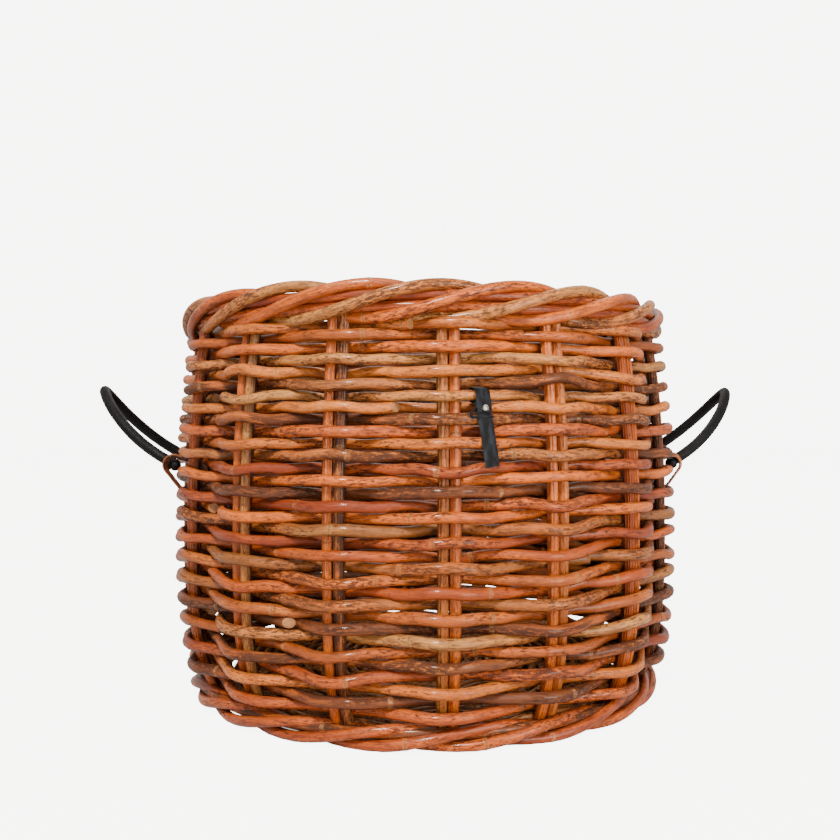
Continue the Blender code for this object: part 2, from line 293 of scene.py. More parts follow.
class Route:
    """A closed line that a cane follows, read by its length from the start."""

    def __init__(self, points):
        self.points = np.vstack([points, points[:1]])
        self.reach = length_along(self.points)
        self.length = self.reach[-1]

    def at(self, s):
        s = np.asarray(s) % self.length
        return np.stack([np.interp(s, self.reach, self.points[:, axis]) for axis in range(3)], axis=-1)

    def smoothed(self, width):
        """The same line with its corners rounded over about this width."""
        count = int(self.length / STATION)
        points = self.at(np.arange(count) * self.length / count)
        offsets = np.minimum(np.arange(count), count - np.arange(count)) * self.length / count
        kernel = np.exp(-0.5 * (offsets / width) ** 2)
        blur = np.fft.rfft(kernel / kernel.sum())
        return Route(np.fft.irfft(np.fft.rfft(points, axis=0) * blur[:, None], n=count, axis=0))


# ---- meshes --------------------------------------------------

def round_turn(sides):
    """Angles round a tube, from its outer side towards its top."""
    return 2.0 * math.pi * np.arange(sides) / sides


def cut_shift(along, turn, slant):
    """How far each vertex moves along a tube for its two slanting end cuts."""
    shift = np.zeros((len(along), len(turn)))
    for end, way in ((0, 1.0), (1, -1.0)):
        from_end = along if end == 0 else along[-1] - along
        fade = 1.0 - smoothstep(from_end / (4.0 * abs(slant[end]) + 1e-6))
        shift += way * slant[end] * fade[:, None] * (1.0 + np.cos(turn))[None, :] / 2.0
    return shift


def painted_edge_shade(turn):
    """Painted shade on a cane's top and bottom edges, where the next courses lie, and on its inner side."""
    edge = np.where(np.sin(turn) > 0.0, TOP_PAINTED_SHADE, UNDER_PAINTED_SHADE)
    near_edge = smoothstep((np.abs(np.sin(turn)) - 0.62) / 0.38)
    return near_edge * edge + smoothstep(-np.cos(turn) / 0.5) * INNER_PAINTED_SHADE


def tube_faces(count, sides, closed):
    """Faces between count rings of vertices, with the two end faces unless the tube is closed."""
    stations = np.arange(count if closed else count - 1)
    columns = np.arange(sides)
    here, after = stations[:, None] * sides, ((stations + 1) % count)[:, None] * sides
    beside = (columns + 1) % sides
    corners = [here + columns, after + columns, after + beside, here + beside]
    faces = np.stack(corners, axis=-1).reshape(-1, 4).tolist()
    if not closed:
        faces += [list(range(sides)), list(range((count - 1) * sides, count * sides))[::-1]]
    return faces


class Body:
    """Collects tubes into one mesh, with what their material reads from each vertex.

    grain is a place in the straightened cane: along it, and across its round section. node is the
    signed distance along the cane to its nearest node, tone shifts the cane's colour, painted_shade is
    painted shade on the edges where the next canes lie and on the inner side, and cut marks the end grain.
    """

    def __init__(self):
        self.vertices, self.faces = [], []
        self.facts = {"grain": [], "node": [], "tone": [], "painted_shade": [], "cut": []}
        self.count = 0

    def add(self, vertices, faces, *values):
        self.vertices.append(vertices)
        self.faces += [[corner + self.count for corner in face] for face in faces]
        for fact, value in zip(self.facts, values):
            self.facts[fact].append(value)
        self.count += len(vertices)

    def tube(self, path, radii, hints, sides, closed=False, node=None, tone=0.5, start=0.0,
             slant=(0.0, 0.0), section=None):
        """A tube along path. hints point to its outer side, radii has one radius a station, section
        shapes its cross section, and slant tilts its two end cuts along the cane."""
        count = len(path)
        if closed:
            tangents = unit(np.roll(path, -1, axis=0) - np.roll(path, 1, axis=0))
        else:
            tangents = unit(np.gradient(path, axis=0))
        out = unit(hints - (hints * tangents).sum(axis=1, keepdims=True) * tangents)
        top = np.cross(out, tangents)
        turn = round_turn(sides)
        shape = np.ones((count, sides)) if section is None else section
        reach = np.asarray(radii)[:, None] * shape
        sideways = np.cos(turn)[None, :, None] * out[:, None] + np.sin(turn)[None, :, None] * top[:, None]
        across = reach[..., None] * sideways
        along = length_along(path)
        shift = np.zeros((count, sides)) if closed else cut_shift(along, turn, slant)
        vertices = (path[:, None] + across + shift[..., None] * tangents[:, None]).reshape(-1, 3)
        lengthwise = start + along[:, None] + shift
        grain = np.broadcast_arrays(lengthwise, reach * np.cos(turn), reach * np.sin(turn))
        grain = np.stack(grain, axis=-1).reshape(-1, 3)
        cut = np.zeros(count * sides)
        if not closed:
            cut[:sides] = cut[-sides:] = 1.0
        spread = np.repeat(np.zeros(count) + 1.0 if node is None else node, sides)
        tones = np.repeat(np.zeros(count) + tone, sides)
        # Painted shade on the tube's top and bottom edges and inner side, which its material lays into the
        # colour.
        painted_shade = np.tile(painted_edge_shade(turn), count)
        self.add(vertices, tube_faces(count, sides, closed), grain, spread, tones, painted_shade, cut)

    def finish(self, name, material, body, slot, *nodes, sharp=50.0):
        """The mesh as one piece, on its CAD body, in place of CAD nodes."""
        mesh = bpy.data.meshes.new(name)
        mesh.from_pydata(np.vstack(self.vertices).tolist(), [], self.faces)
        for fact, values in self.facts.items():
            kind = "FLOAT_VECTOR" if fact == "grain" else "FLOAT"
            key = "vector" if fact == "grain" else "value"
            layer = mesh.attributes.new(fact, kind, "POINT")
            layer.data.foreach_set(key, np.concatenate([np.ravel(v) for v in values]).astype(np.float32))
        mesh.shade_smooth()
        mesh.set_sharp_from_angle(angle=math.radians(sharp))
        mesh.materials.append(material)
        piece = bpy.data.objects.new(name, mesh)
        bpy.context.scene.collection.objects.link(piece)
        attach(piece, body)
        if nodes:
            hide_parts(*nodes)
        return piece


# ---- materials -----------------------------------------------

class Graph:
    """The node tree of a material or of the world, written as nested calls."""

    def __init__(self, owner, shader="Principled BSDF"):
        self.owner = owner
        owner.use_nodes = True
        self.tree = owner.node_tree
        self.shader = self.tree.nodes[shader]

    def put(self, value, socket):
        if isinstance(value, bpy.types.NodeSocket):
            self.tree.links.new(value, socket)
        else:
            socket.default_value = value

    def node(self, kind, **inputs):
        node = self.tree.nodes.new(kind)
        for name, value in inputs.items():
            self.put(value, node.inputs[name.replace("_", " ")])
        return node

    def attribute(self, name, output="Fac"):
        node = self.node("ShaderNodeAttribute")
        node.attribute_name = name
        return node.outputs[output]

    def math(self, operation, first, second=0.0, clamp=False):
        node = self.tree.nodes.new("ShaderNodeMath")
        node.operation = operation
        node.use_clamp = clamp
        self.put(first, node.inputs[0])
        self.put(second, node.inputs[1])
        return node.outputs[0]

    def stretch(self, vector, scale):
        node = self.tree.nodes.new("ShaderNodeVectorMath")
        node.operation = "MULTIPLY"
        self.put(vector, node.inputs[0])
        node.inputs[1].default_value = scale
        return node.outputs[0]

    def noise(self, vector, detail, roughness):
        node = self.node("ShaderNodeTexNoise", Vector=vector, Scale=1.0, Detail=detail, Roughness=roughness)
        return node.outputs["Fac"]

    def band(self, value, low, high):
        """0 below low and 1 above high."""
        node = self.tree.nodes.new("ShaderNodeMapRange")
        node.interpolation_type = "SMOOTHSTEP"
        self.put(value, node.inputs["Value"])
        node.inputs["From Min"].default_value = low
        node.inputs["From Max"].default_value = high
        return node.outputs["Result"]

    def mix(self, factor, first, second):
        node = self.tree.nodes.new("ShaderNodeMix")
        node.data_type = "RGBA"
        self.put(factor, node.inputs[0])
        for value, socket in ((first, node.inputs[6]), (second, node.inputs[7])):
            self.put(value if isinstance(value, bpy.types.NodeSocket) else (*value, 1.0), socket)
        return node.outputs[2]

    def layer(self, amount, share, below, above):
        """One colour laid over another, as much as amount times share."""
        return self.mix(self.math("MULTIPLY", amount, share), below, above)

    def bump(self, height, distance, strength):
        node = self.node("ShaderNodeBump", Height=height, Distance=distance, Strength=strength)
        return node.outputs["Normal"]

    def for_camera(self, otherwise, seen):
        """A shader that the camera sees, where all other rays meet another one."""
        choose = self.tree.nodes.new("ShaderNodeMixShader")
        self.put(self.node("ShaderNodeLightPath").outputs["Is Camera Ray"], choose.inputs[0])
        self.put(otherwise, choose.inputs[1])
        self.put(seen, choose.inputs[2])
        return choose.outputs[0]


# Slot: (darker colour, lighter colour, how much bark is left on, roughness of its skin).
CANES = {
    "cane_orange": ((0.34, 0.052, 0.004), (0.68, 0.145, 0.012), 0.34, 0.36),
    "cane_amber": ((0.33, 0.066, 0.006), (0.66, 0.185, 0.024), 0.38, 0.38),
    "cane_tan": ((0.27, 0.086, 0.015), (0.56, 0.235, 0.058), 0.44, 0.42),
    "cane_red_brown": ((0.24, 0.032, 0.004), (0.54, 0.100, 0.013), 0.40, 0.38),
    "cane_bark": ((0.15, 0.038, 0.008), (0.46, 0.140, 0.027), 0.60, 0.46),
    "split_cane": ((0.16, 0.036, 0.006), (0.42, 0.125, 0.024), 0.25, 0.42),
}
BARK = (0.026, 0.0075, 0.003)
SCAR = (0.60, 0.290, 0.100)
END_GRAIN = (0.58, 0.250, 0.080)
RUDDY = (0.70, 0.140, 0.010)
PORE = (0.26, 0.110, 0.045)

# Patterns of a cane's skin: (scale along the cane, scale across it, detail, roughness).
PATTERNS = {
    "fibres": (20.0, 520.0, 5.0, 0.68),
    "fine": (60.0, 2000.0, 2.0, 0.50),
    "clouds": (16.0, 110.0, 3.0, 0.55),
    "drift": (4.0, 30.0, 2.0, 0.50),
    "mottle": (120.0, 380.0, 6.0, 0.78),
    "stain": (60.0, 240.0, 6.0, 0.74),
    "grit": (240.0, 780.0, 3.0, 0.60),
    "pores": (300.0, 2200.0, 2.0, 0.50),
}


def cane_patterns(graph):
    grain = graph.attribute("grain", "Vector")
    return {name: graph.noise(graph.stretch(grain, (along, across, across)), detail, roughness)
            for name, (along, across, detail, roughness) in PATTERNS.items()}


def bark_left(graph, pattern, share):
    """Where dark bark is left on the skin."""
    limit = graph.math("SUBTRACT", 0.74, graph.math("MULTIPLY", pattern["drift"], share))
    bark = graph.band(graph.math("SUBTRACT", pattern["mottle"], limit), -0.02, 0.07)
    return graph.math("MULTIPLY", bark, graph.band(pattern["clouds"], 0.36, 0.54))


def node_marks(graph, pattern):
    """The pale scar round each node, and the thin dark ring in it."""
    ragged = graph.math("MULTIPLY", graph.math("SUBTRACT", pattern["stain"], 0.5), 0.006)
    distance = graph.math("ABSOLUTE", graph.math("ADD", graph.attribute("node"), ragged))
    scar = graph.band(distance, 0.0032, 0.0012)
    scar = graph.math("MULTIPLY", scar, graph.band(pattern["mottle"], 0.42, 0.60))
    ring = graph.band(distance, 0.0012, 0.0004)
    ring = graph.math("MULTIPLY", ring, graph.band(pattern["clouds"], 0.34, 0.56))
    return scar, ring


def skin_colour(graph, pattern, dark, light):
    """The cane's own colour, from its fibres and tone, redder in long patches."""
    tone = graph.math("SUBTRACT", graph.attribute("tone"), 0.5)
    depth = graph.math("MULTIPLY", pattern["clouds"], 0.9)
    depth = graph.math("ADD", depth, graph.math("MULTIPLY", pattern["fibres"], 0.9))
    depth = graph.math("ADD", depth, graph.math("MULTIPLY", tone, 0.8))
    colour = graph.mix(graph.band(depth, 0.62, 1.12), dark, light)
    return graph.mix(graph.band(pattern["drift"], 0.40, 0.62), colour, graph.mix(0.5, colour, RUDDY))


def cane_material(slot, upright=False):
    """Whole rattan: fibre streaks, patches of dark bark, a ring at each node and pale cut ends. An
    upright cane has less bark and deeper grooves."""
    dark, light, bark_share, roughness = CANES[slot]
    graph = Graph(bpy.data.materials.new(slot + ("_upright" if upright else "")))
    clean = upright and slot != "cane_bark"
    pattern = cane_patterns(graph)
    bark = bark_left(graph, pattern, bark_share)
    scar, ring = node_marks(graph, pattern)

    colour = skin_colour(graph, pattern, dark, light)
    stained = graph.band(pattern["stain"], 0.47, 0.64)
    colour = graph.layer(stained, 0.30 if clean else 0.72, colour, graph.mix(0.55, dark, BARK))
    colour = graph.layer(bark, 0.35 if clean else 0.85, colour, BARK)
    colour = graph.layer(graph.band(pattern["fibres"], 0.42, 0.30), 0.70 if upright else 0.62, colour, BARK)
    colour = graph.layer(graph.band(pattern["grit"], 0.46, 0.64), 0.42, colour, graph.mix(0.6, dark, BARK))
    colour = graph.layer(scar, 0.55, colour, SCAR)
    colour = graph.layer(ring, 0.30, colour, BARK)
    # Painted shade: on a cane's edges and inner side the colour goes towards bark, more in cloudy patches.
    patchy = graph.math("ADD", 0.45, graph.math("MULTIPLY", pattern["clouds"], 0.8))
    colour = graph.layer(graph.attribute("painted_shade"), patchy, colour, BARK)
    wood = graph.mix(graph.band(pattern["pores"], 0.38, 0.62), PORE, END_GRAIN)
    colour = graph.mix(graph.band(graph.attribute("cut"), 0.90, 0.99), colour, wood)
    graph.put(colour, graph.shader.inputs["Base Color"])

    streaks = graph.math("MULTIPLY", graph.math("SUBTRACT", pattern["fibres"], 0.5), 0.35)
    rough = graph.math("ADD", roughness, streaks)
    rough = graph.math("ADD", rough, graph.math("MULTIPLY", bark, 0.30), clamp=True)
    graph.put(rough, graph.shader.inputs["Roughness"])
    relief = graph.math("MULTIPLY", pattern["fibres"], 0.8)
    relief = graph.math("ADD", relief, graph.math("MULTIPLY", pattern["fine"], 0.25))
    for mark, depth in ((pattern["grit"], 0.5), (bark, 0.45), (ring, 0.8)):
        relief = graph.math("SUBTRACT", relief, graph.math("MULTIPLY", mark, depth))
    graph.put(graph.bump(relief, 0.0011 if upright else 0.0008, 0.9), graph.shader.inputs["Normal"])
    graph.shader.inputs["Coat Weight"].default_value = 0.30
    graph.shader.inputs["Coat Roughness"].default_value = 0.13
    graph.shader.inputs["Specular IOR Level"].default_value = 0.26
    return graph.owner


def leather_material(name, colour, worn, roughness, grain_scale):
    """Black leather: fine pebbled grain, faint creases across, and a softer sheen where it is rubbed."""
    graph = Graph(bpy.data.materials.new(name))
    grain = graph.attribute("grain", "Vector")
    cells = graph.node("ShaderNodeTexVoronoi", Vector=grain, Scale=grain_scale)
    cells.feature = "DISTANCE_TO_EDGE"
    pebbles = graph.band(cells.outputs["Distance"], 0.0, 0.16)
    creases = graph.noise(graph.stretch(grain, (900.0, 160.0, 160.0)), 4.0, 0.6)
    rubbed = graph.noise(graph.stretch(grain, (60.0, 150.0, 150.0)), 4.0, 0.6)
    graph.put(graph.mix(graph.band(rubbed, 0.40, 0.70), colour, worn), graph.shader.inputs["Base Color"])
    rough = graph.math("ADD", roughness, graph.math("MULTIPLY", graph.math("SUBTRACT", rubbed, 0.5), -0.35))
    graph.put(rough, graph.shader.inputs["Roughness"])
    relief = graph.math("ADD", graph.math("MULTIPLY", pebbles, 0.5), graph.math("MULTIPLY", creases, 0.7))
    graph.put(graph.bump(relief, 0.00025, 0.7), graph.shader.inputs["Normal"])
    graph.shader.inputs["Specular IOR Level"].default_value = 0.16
    return graph.owner


def metal_material():
    """Polished nickel with fine marks and a dull film in patches."""
    graph = Graph(bpy.data.materials.new("rivet_metal"))
    grain = graph.attribute("grain", "Vector")
    marks = graph.noise(graph.stretch(grain, (4000.0, 500.0, 500.0)), 3.0, 0.6)
    film = graph.noise(graph.stretch(grain, (700.0, 700.0, 700.0)), 3.0, 0.6)
    graph.put(graph.mix(graph.band(film, 0.45, 0.70), (0.72, 0.70, 0.66), (0.42, 0.40, 0.37)),
              graph.shader.inputs["Base Color"])
    graph.put(graph.math("ADD", 0.14, graph.math("MULTIPLY", film, 0.22)), graph.shader.inputs["Roughness"])
    graph.put(graph.bump(marks, 0.00003, 0.5), graph.shader.inputs["Normal"])
    graph.shader.inputs["Metallic"].default_value = 1.0
    return graph.owner


# Slot: (colour, colour where it is rubbed, roughness, pebbles per metre).
LEATHERS = {
    "handle_leather": ((0.0015, 0.0015, 0.0018), (0.0050, 0.0050, 0.0060), 0.42, 900.0),
    "strap_leather": ((0.0030, 0.0036, 0.0046), (0.018, 0.023, 0.031), 0.42, 1100.0),
}

SLOT_OF = {part["node"]: part["material_slot"] for part in frame["record"]["subparts"]}
MATERIALS = {slot: cane_material(slot) for slot in CANES}
UPRIGHTS = {slot: cane_material(slot, upright=True) for slot in CANES if slot != "split_cane"}
MATERIALS.update({slot: leather_material(slot, *looks) for slot, looks in LEATHERS.items()})
MATERIALS["rivet_metal"] = metal_material()


# ---- canes ---------------------------------------------------

def bulge(z):
    """Distance of the stakes from the basket's axis at a height."""
    if z > WIDEST_Z:
        return WIDEST_RADIUS - RIM_TUCK * ((z - WIDEST_Z) / (STAKE_TOP - WIDEST_Z)) ** 2
    return WIDEST_RADIUS - FOOT_TUCK * ((WIDEST_Z - z) / (WIDEST_Z - STAKE_FOOT)) ** 4


def stake_line(z):
    """The same distance where the stakes run straight between stations, and the slope there."""
    for low, high in zip(STAKE_STATIONS, STAKE_STATIONS[1:]):
        if z <= high:
            break
    slope = (bulge(high) - bulge(low)) / (high - low)
    return bulge(low) + slope * (z - low), slope


def node_places(rng, length):
    return np.cumsum(rng.uniform(*NODE_GAP, int(length / NODE_GAP[0]) + 3)) - rng.uniform(0.0, NODE_GAP[1])


def from_node(along, places):
    """Signed distance from each station to its nearest node."""
    gaps = along[:, None] - places[None, :]
    nearest = np.abs(gaps).argmin(axis=1)
    return gaps[np.arange(len(along)), nearest]


def add_cane(body, rng, path, radius, sides, tone, hints=None, closed=False, slant=(0.0, 0.0), grooves=0.0):
    """One rattan cane along path: its thickness drifts, it swells at each node, and grooves may run
    along it."""
    along = length_along(path)
    node = from_node(along, node_places(rng, along[-1]))
    radii = radius * (1.0 + THICKNESS_DRIFT * waves(rng, along, 0.35))
    radii = radii + NODE_HEIGHT * np.exp(-(node / NODE_WIDTH) ** 2)
    if not closed:
        radii[0] *= END_TAPER
        radii[-1] *= END_TAPER
    section = None
    if grooves:
        turn = round_turn(sides)
        section = np.ones((len(path), sides))
        for angle in np.cumsum(rng.uniform(0.35, 0.75, GROOVES_ROUND)):
            spread = np.exp(-(turned(turn - angle) / GROOVE_WIDTH) ** 2)
            section -= grooves * rng.uniform(0.4, 1.0) * spread[None, :]
    tones = tone + TONE_DRIFT * waves(rng, along, 0.9)
    body.tube(path, radii, outward(path) if hints is None else hints, sides, closed, node, tones,
              rng.uniform(0.0, GRAIN_STARTS), slant, section)


def course_route(row, wander):
    """The line of a course: the CAD course with its corners rounded, and the drift of a hand weave."""
    z = FIRST_ROW_Z + (row - 1) * ROW_PITCH
    radius, slope = stake_line(z)
    offset = (STAKE_CANE_RADIUS + GAP + ROW_RADIUS) * math.hypot(1.0, slope)
    stakes = np.repeat(np.arange(STAKE_PAIRS), 2)
    sides = np.tile((-1.0, 1.0), STAKE_PAIRS)
    outside = np.where((row + stakes) % 2 == 1, 1.0, -1.0)
    corners = place(radius + outside * offset, sides * SHOULDER, z, stakes * STAKE_STEP)
    points = Route(corners).smoothed(WEAVE_SMOOTHING).points[:-1]
    reach = np.hypot(points[:, 0], points[:, 1])
    closer = 1.0 - BACK_CLOSER * behind(azimuth_of(points))
    points[:, :2] *= ((radius + (reach - radius) * closer) / reach)[:, None]
    points[:, 2] += wander(row, azimuth_of(points))
    return Route(points)


def quiet(row, azimuth):
    """0 at the places on the wall that the tag and the eyes hold, and 1 away from them."""
    handle = 0.5 * math.pi
    aside = math.atan2(EYE_V, EYE_WALL_RADIUS)
    calm = np.exp(-((row - TAG_ROW) / QUIET_ROWS) ** 2 - (turned(azimuth - TAG_AZIMUTH) / TAG_QUIET) ** 2)
    for middle in (handle, -handle):
        for eye in (middle - aside, middle + aside):
            away = ((row - EYE_ROW) / QUIET_ROWS) ** 2
            calm = calm + np.exp(-away - (turned(azimuth - eye) / EYE_QUIET) ** 2)
    return 1.0 - np.clip(calm, 0.0, 1.0)


def behind(azimuth):
    """1 on the back of the basket, which is woven tighter, and 0 on its front."""
    return smoothstep((np.abs(turned(azimuth)) - BACK_START) / BACK_RAMP)


def make_wander(rng):
    """Height drift of the courses: slow waves that neighbours share, each course's own lifts at the
    stakes and small kinks, and the lowest courses pressed together."""
    terms = [(rng.uniform(*SHARED_WAVE_HEIGHT), rng.integers(1, 7),
              rng.uniform(-SHARED_WAVE_LEAN, SHARED_WAVE_LEAN), rng.uniform(*ANY_PHASE))
             for _ in range(SHARED_WAVES)]
    lifts = rng.uniform(-STAKE_LIFT, STAKE_LIFT, (ROWS + 1, STAKE_PAIRS))
    kinks = [(rng.integers(*KINKS_ROUND), rng.uniform(*ANY_PHASE)) for _ in range(ROWS + 1)]

    def wander(row, azimuth):
        shared = sum(size * np.sin(count * azimuth + lean * row + start)
                     for size, count, lean, start in terms)
        position = (azimuth / STAKE_STEP) % STAKE_PAIRS
        stake = np.round(position).astype(int)
        reach = np.abs(position - stake) / STAKE_LIFT_REACH
        own = lifts[row, stake % STAKE_PAIRS] * np.cos(0.5 * math.pi * np.clip(reach, 0.0, 1.0)) ** 2
        count, start = kinks[row]
        own = own + KINK_HEIGHT * np.sin(count * azimuth + start) * (1.0 - behind(azimuth))
        edge = min(row - 1, ROWS - row, 3) / 3.0
        loose = 1.0 + 0.3 * smoothstep((row - LOOSE_FROM_ROW) / 2.0)
        loose = loose - 0.6 * smoothstep((row - TIGHT_FROM_ROW) / 3.0)
        pressed = FOOT_PRESS * math.exp(-(row - 1) / 2.5)
        pressed = pressed + BACK_FOOT_PRESS * behind(azimuth) * math.exp(-(row - 1) / 0.8)
        own = own * max(edge, 0.4) * loose * (1.0 - BACK_CALM * behind(azimuth))
        return (shared * edge + own - pressed) * quiet(row, azimuth)

    return wander


def lapped_cane(body, rng, route, radius, sides, tone, joint, tail, head, slant):
    """A cane once round a closed route. Its end lies over its start at the joint, which is a length
    along the route: the end reaches tail past it, and the start hides behind from head before it."""
    stations = np.arange(joint - head, joint + route.length + tail, STATION)
    path = route.at(stations)
    fade = 1.0 - smoothstep((stations - joint - tail) / LAP_FADE)
    path = path - outward(path) * (LAP_DEPTH * fade)[:, None]
    thickness = radius * (1.0 + BACK_THICKER * behind(azimuth_of(path)))
    add_cane(body, rng, path, thickness, sides, tone, slant=(CUT_SLANT, slant))


def route_length_at(route, azimuth):
    """Length along a course where it passes an azimuth."""
    gaps = np.abs(turned(azimuth_of(route.points) - azimuth))
    return route.reach[gaps.argmin()]


def make_rows():
    """The weaving courses, one cane each with lapped ends, and the route of each."""
    rng = np.random.default_rng(11)
    wander = make_wander(rng)
    routes = {}
    for row in range(1, ROWS + 1):
        node = f"weave_row_{row:02d}"
        route = course_route(row, wander)
        routes[row] = route
        if row in OUTSIDE_LAPS:
            stake, slant = OUTSIDE_LAPS[row]
            tail, head = 0.0, SHOWN_LAP_HEAD
        else:
            stake = 2 * rng.integers(2, 7) + row % 2
            slant, tail, head = CUT_SLANT, LAP, LAP
        body = Body()
        thickness = TAG_ROW_THICKNESS if row == TAG_ROW else rng.uniform(*ROW_THICKNESS)
        tone = rng.uniform(-0.05, 1.0) - 0.3 * smoothstep((12 - row) / 8.0)
        lapped_cane(body, rng, route, ROW_RADIUS * thickness, ROW_SIDES, tone,
                    route_length_at(route, stake * STAKE_STEP), tail, head, slant)
        slot = SLOT_OF[node]
        body.finish(f"cane_course_{row:02d}", MATERIALS[slot], "basket", slot, node)
    return routes


def make_stakes():
    """Two canes side by side for each CAD pair. The left one stands in for the pair's node."""
    rng = np.random.default_rng(23)
    heights = np.linspace(STAKE_FOOT - STAKE_INTO_FOOT, STAKE_TOP + STAKE_INTO_RIM, 90)
    line = np.array([bulge(min(z, STAKE_TOP)) for z in heights])
    for index in range(STAKE_PAIRS):
        node = f"stake_pair_{index + 1:02d}"
        azimuth = index * STAKE_STEP
        looks = STAKE_LOOKS.get(index, (SLOT_OF[node], "cane_orange"))
        for side, slot in zip((-1.0, 1.0), looks):
            body = Body()
            sway = side * STAKE_CANE_OFFSET + 0.0005 * waves(rng, heights, 0.5, 3)
            path = place(line, sway, heights, azimuth)
            hints = np.repeat(place(1.0, 0.0, 0.0, azimuth)[None, :], len(path), axis=0)
            add_cane(body, rng, path, STAKE_SHOWN_RADIUS, STAKE_SIDES, rng.uniform(0.3, 0.9), hints,
                     grooves=STAKE_GROOVES)
            hand, nodes = ("left", (node,)) if side < 0.0 else ("right", ())
            body.finish(f"stake_cane_{index + 1:02d}_{hand}", UPRIGHTS[slot], "basket", slot, *nodes)


def rope_route(revolutions, twists, start, centre, half_size, rng, play):
    """The line of one strand of a rope round the basket, with some play in its lay."""
    azimuth = np.linspace(0.0, 2.0 * math.pi * revolutions, int(revolutions * 720), endpoint=False)
    away_from_joint = np.sin(azimuth / (2.0 * revolutions)) ** 2
    loose = play * waves(rng, azimuth, 2.0 * math.pi * revolutions / 3.0, 4) * away_from_joint
    phase = start + twists * azimuth
    u = centre[0] + (half_size[0] + 0.3 * loose) * np.cos(phase)
    z = centre[1] + (half_size[1] + loose) * np.sin(phase)
    return Route(place(u, 0.0, z, azimuth))


def make_rim():
    """The rope on top: two canes, each going round twice."""
    rng = np.random.default_rng(37)
    for index, joint in enumerate(RIM_JOINTS):
        route = rope_route(2, RIM_TWISTS, 0.5 * math.pi * index, RIM_CENTRE, RIM_HALF_SIZE, rng, RIM_PLAY)
        body = Body()
        lapped_cane(body, rng, route, RIM_SHOWN_RADIUS, ROPE_SIDES, 0.45 + 0.2 * index, joint * route.length,
                    tail=0.004, head=0.05, slant=0.002)
        node = f"rim_cane_{index + 1}"
        slot = SLOT_OF[node]
        body.finish(f"rim_rope_{index + 1}", MATERIALS[slot], "basket", slot, node)


def make_rim_filling():
    """Two core canes inside the rope, and the thin cane that closes the wall under it."""
    rng = np.random.default_rng(43)
    azimuth = np.linspace(0.0, 2.0 * math.pi, CORE_STATIONS, endpoint=False)
    body = Body()
    for z in (-CORE_SPACING, CORE_SPACING):
        path = place(RIM_CENTRE[0], 0.0, RIM_CENTRE[1] + z + 0.0008 * waves(rng, azimuth, 2.0), azimuth)
        add_cane(body, rng, path, CORE_RADIUS, ROW_SIDES, rng.uniform(0.2, 0.5), closed=True)
    body.finish("rim_core", MATERIALS["cane_red_brown"], "basket", "cane_red_brown")

    body = Body()
    route = course_route(ROWS + 1, lambda row, azimuth: -0.0016 + 0.0006 * np.sin(3.0 * azimuth))
    lapped_cane(body, rng, route, LACING_RADIUS, ROW_SIDES, 0.5, route_length_at(route, LACING_LAP_AZIMUTH),
                tail=0.0, head=SHOWN_LAP_HEAD, slant=0.002)
    body.finish("rim_lacing", MATERIALS["cane_amber"], "basket", "cane_amber")


def make_foot():
    """The rope under the wall, cut flat where it stands, and the core cane inside it."""
    rng = np.random.default_rng(41)
    route = rope_route(3, FOOT_TWISTS, FOOT_START, FOOT_CENTRE, FOOT_HALF_SIZE, rng, 0.0002)
    body = Body()
    lapped_cane(body, rng, route, FOOT_CANE_RADIUS, ROPE_SIDES, 0.5, 0.52 * route.length,
                tail=0.004, head=0.05, slant=0.003)
    for vertices in body.vertices:
        vertices[:, 2] = np.maximum(vertices[:, 2], 0.0)
    body.finish("foot_rope_cane", MATERIALS["cane_red_brown"], "basket", "cane_red_brown", "foot_rope")

    azimuth = np.linspace(0.0, 2.0 * math.pi, CORE_STATIONS, endpoint=False)
    core = Body()
    z = FOOT_CENTRE[1] + FOOT_CORE_LIFT + 0.0004 * waves(rng, azimuth, 2.0)
    path = place(FOOT_CENTRE[0], 0.0, z, azimuth)
    add_cane(core, rng, path, FOOT_CORE_RADIUS, ROW_SIDES, 0.3, closed=True)
    core.finish("foot_core", MATERIALS["cane_bark"], "basket", "cane_bark")


def make_base():
    """The floor of the basket: spokes laid across, with thin canes woven round over and under them. The
    outermost ring fills the gap to the wall."""
    rng = np.random.default_rng(53)
    body = Body()
    for index in range(STAKE_PAIRS):
        azimuth = (index + 0.5) * STAKE_STEP
        for v in (-SPOKE_OFFSET, SPOKE_OFFSET):
            reach = np.linspace(SPOKE_STARTS[index % 2], BASE_RADIUS - 0.003, 60)
            path = place(reach, v, BASE_MIDDLE, azimuth)
            hints = np.repeat([[0.0, 0.0, 1.0]], len(path), axis=0)
            add_cane(body, rng, path, SPOKE_RADIUS, 8, rng.uniform(0.2, 0.8), hints)
    rings = int((BASE_RADIUS - BASE_HOLE) / RING_PITCH)
    for ring in range(-1, rings):
        radius = BASE_RADIUS - RING_RADIUS - 0.0005 - ring * RING_PITCH
        stations = max(96, int(radius * 2.0 * math.pi / 0.004))
        azimuth = np.linspace(0.0, 2.0 * math.pi, stations, endpoint=False)
        z = BASE_MIDDLE + RING_SWAY * np.cos(0.5 * STAKE_PAIRS * azimuth + math.pi * (ring % 2))
        path = place(radius, 0.0, z, azimuth)
        add_cane(body, rng, path, RING_RADIUS, 8, rng.uniform(0.2, 0.8), closed=True)
    body.finish("base_weave", MATERIALS["cane_tan"], "basket", "cane_tan", "base_mat")


# ---- handles, eyes and tag -----------------------------------

def joint_of(name):
    return next(joint for joint in frame["record"]["behaviour"]["joints"] if joint["name"] == name)


